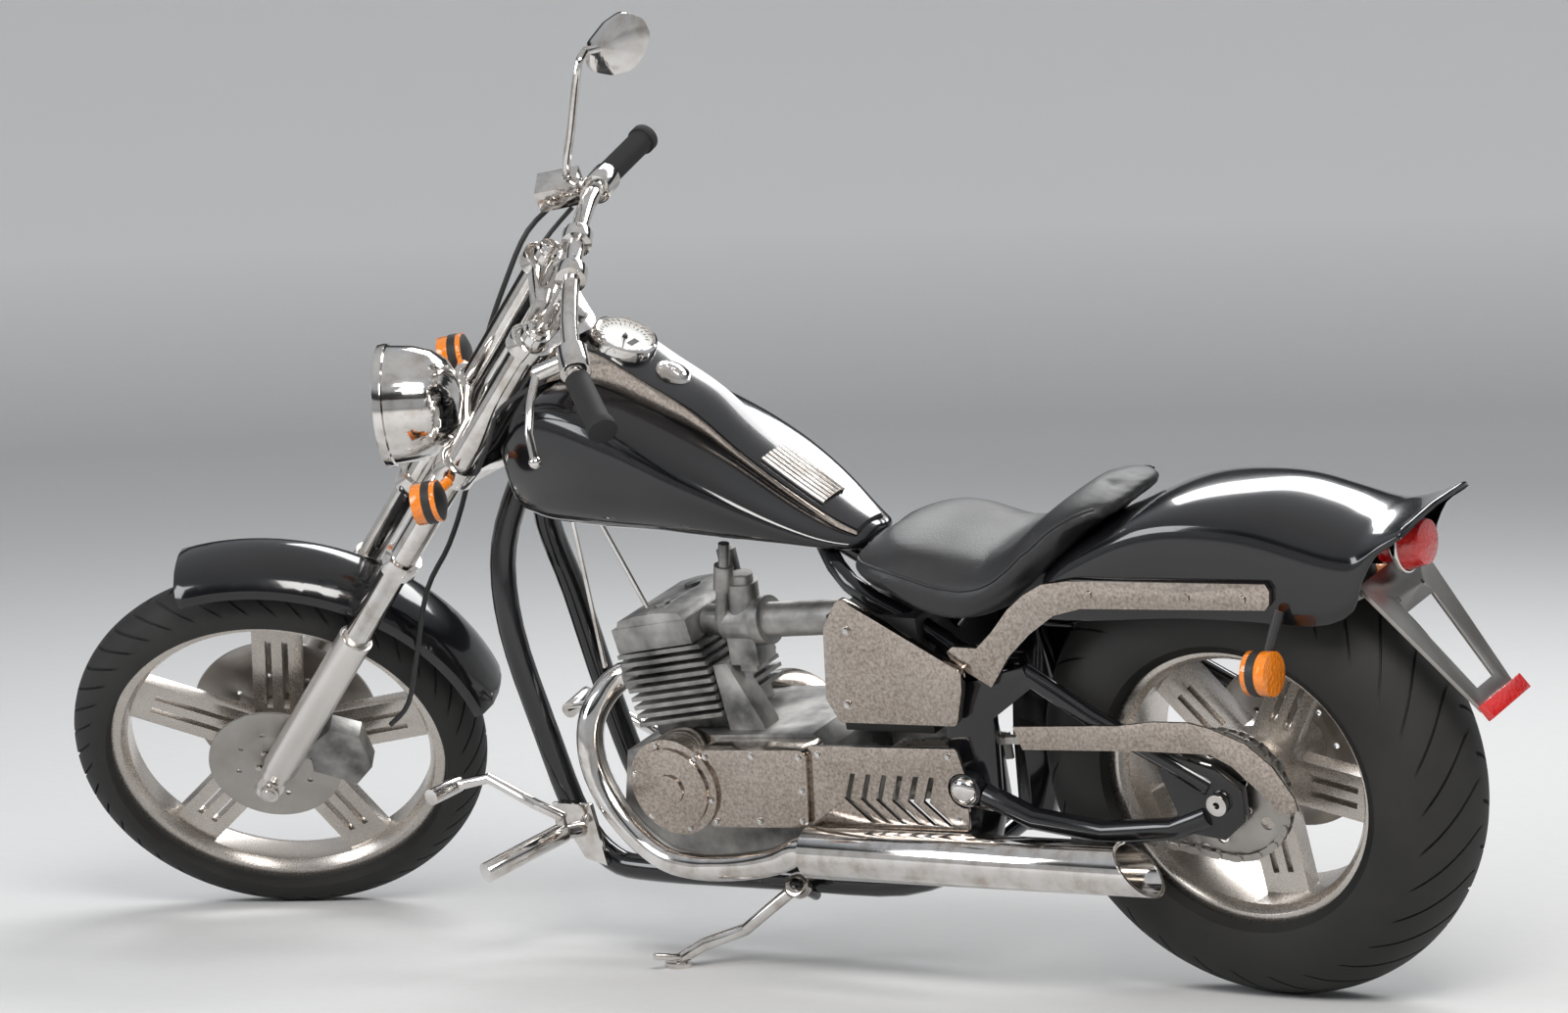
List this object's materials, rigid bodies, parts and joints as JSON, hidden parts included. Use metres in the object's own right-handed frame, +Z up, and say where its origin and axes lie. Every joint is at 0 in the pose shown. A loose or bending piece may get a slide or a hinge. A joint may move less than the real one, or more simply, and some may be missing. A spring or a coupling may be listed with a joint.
{
  "type": "cruiser motorcycle",
  "caption": "Low cruiser motorcycle with a raked fork, fat rear tyre and stepped seat, leaning on its side stand.",
  "frame": {"origin": "middle of the footprint at ground level", "axes": "+X forward, +Y to the left, +Z up"},
  "size_m": [2.3568, 0.7237, 1.3541],
  "materials": {
    "black_paint": "gloss",
    "chrome": "mirror polish",
    "aluminium": "satin",
    "rubber": "matt",
    "grip_rubber": "matt",
    "vinyl": "satin",
    "engine_metal": "cast",
    "steel": "brushed",
    "red_lens": "clear red",
    "amber_lens": "clear amber",
    "black_plastic": "matt",
    "lamp_glass": "clear"
  },
  "bodies": {
    "chassis": {"frame": "black_paint", "swingarm": "black_paint", "rear_axle": "steel", "fuel_tank": "black_paint", "tank_dash": "black_paint", "speedometer": "chrome", "filler_cap": "chrome", "tank_grille": "chrome", "seat": "vinyl", "rear_fender": "black_paint", "fender_strut_left": "chrome", "fender_strut_right": "chrome", "tail_light": "red_lens", "plate_bracket": "steel", "rear_reflector": "red_lens", "rear_signal_left": "amber_lens", "rear_signal_right": "amber_lens", "battery_box": "black_plastic", "side_cover_left": "chrome", "side_cover_right": "chrome", "engine_block": "engine_metal", "cylinder_barrel": "engine_metal", "cylinder_head": "engine_metal", "carburettor": "engine_metal", "round_cover": "chrome", "square_cover": "chrome", "louvred_cover": "chrome", "clutch_cover": "chrome", "exhaust_header": "chrome", "muffler": "chrome", "chain": "steel", "chain_guard": "chrome", "foot_control_left": "chrome", "foot_control_right": "chrome", "engine_stays": "chrome"},
    "steering": {"fork_clamps": "chrome", "fork_tubes": "chrome", "fork_sliders": "aluminium", "headlight": "chrome", "headlight_lens": "lamp_glass", "front_signal_left": "amber_lens", "front_signal_right": "amber_lens", "handlebar": "chrome", "grips": "grip_rubber", "hand_controls": "chrome", "mirror_right": "chrome", "front_fender": "black_paint", "front_axle": "steel", "brake_caliper": "steel", "control_cables": "black_plastic"},
    "front_wheel": {"front_rim": "aluminium", "front_tyre": "rubber", "front_discs": "steel"},
    "rear_wheel": {"rear_rim": "aluminium", "rear_tyre": "rubber", "rear_sprocket": "steel", "rear_disc": "steel"},
    "side_stand": {"side_stand": "chrome"}
  },
  "joints": [
    {"name": "steering_turn", "type": "hinge", "parent": "chassis", "child": "steering", "pos_m": [0.85197, -0.07327, 0.24778], "axis": [-0.6657, 0.1784, 0.7246], "range_deg": [-63, 0]},
    {"name": "front_wheel_spin", "type": "hinge", "parent": "steering", "child": "front_wheel", "pos_m": [0.88687, -0.03772, 0.2711], "axis": [-0.3927, 0.7419, -0.5434], "continuous": true},
    {"name": "rear_wheel_spin", "type": "hinge", "parent": "chassis", "child": "rear_wheel", "pos_m": [-0.78866, -0.06113, 0.31899], "axis": [-0.0033, 0.9703, -0.2419], "continuous": true},
    {"name": "side_stand_swing", "type": "hinge", "parent": "chassis", "child": "side_stand", "pos_m": [-0.08234, 0.01708, 0.11869], "axis": [-0.0545, 0.9142, 0.4016], "range_deg": [0, 105]}
  ]
}
